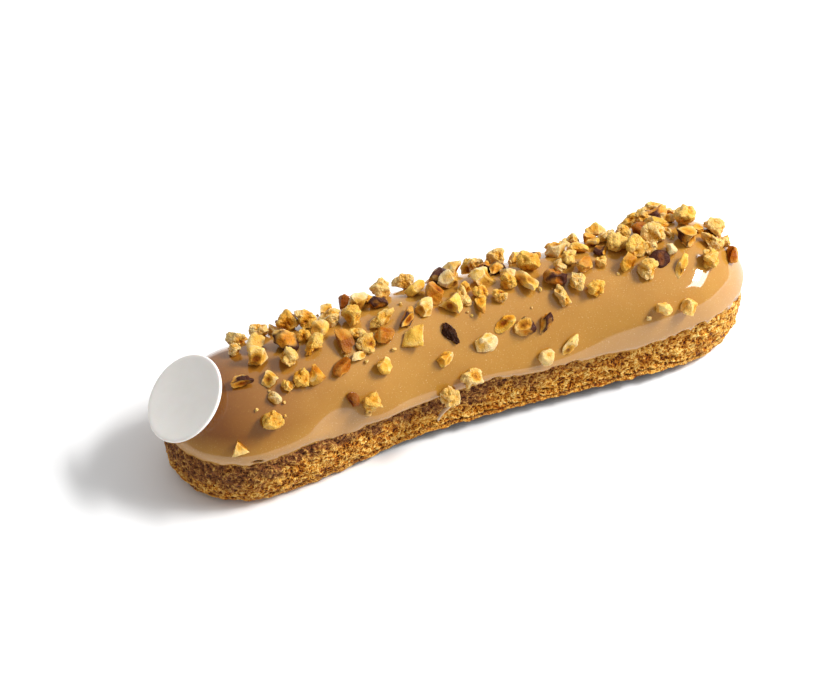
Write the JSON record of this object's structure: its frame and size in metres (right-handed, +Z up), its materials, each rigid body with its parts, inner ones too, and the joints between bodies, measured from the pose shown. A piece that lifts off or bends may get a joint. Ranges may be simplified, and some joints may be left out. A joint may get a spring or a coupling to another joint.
{
  "type": "eclair",
  "caption": "Eclair: a long choux bar with caramel icing over its top, chopped roasted nuts strewn along the crest, and a thin white chocolate disc leaning on one end.",
  "frame": {"origin": "on the table, under the middle of the bar, at the middle of its flat base", "axes": "+X along the bar from the disc end to the plain end, -Y towards the side with fewer nuts, +Z up"},
  "size_m": [0.1441, 0.035, 0.0325],
  "materials": {
    "choux": "baked golden-brown crust, dry and rough",
    "icing": "glossy caramel icing with matt roasted nuts",
    "disc": "satin white chocolate"
  },
  "bodies": {
    "root": {"choux": "choux", "icing": "icing", "disc": "disc"}
  },
  "joints": []
}
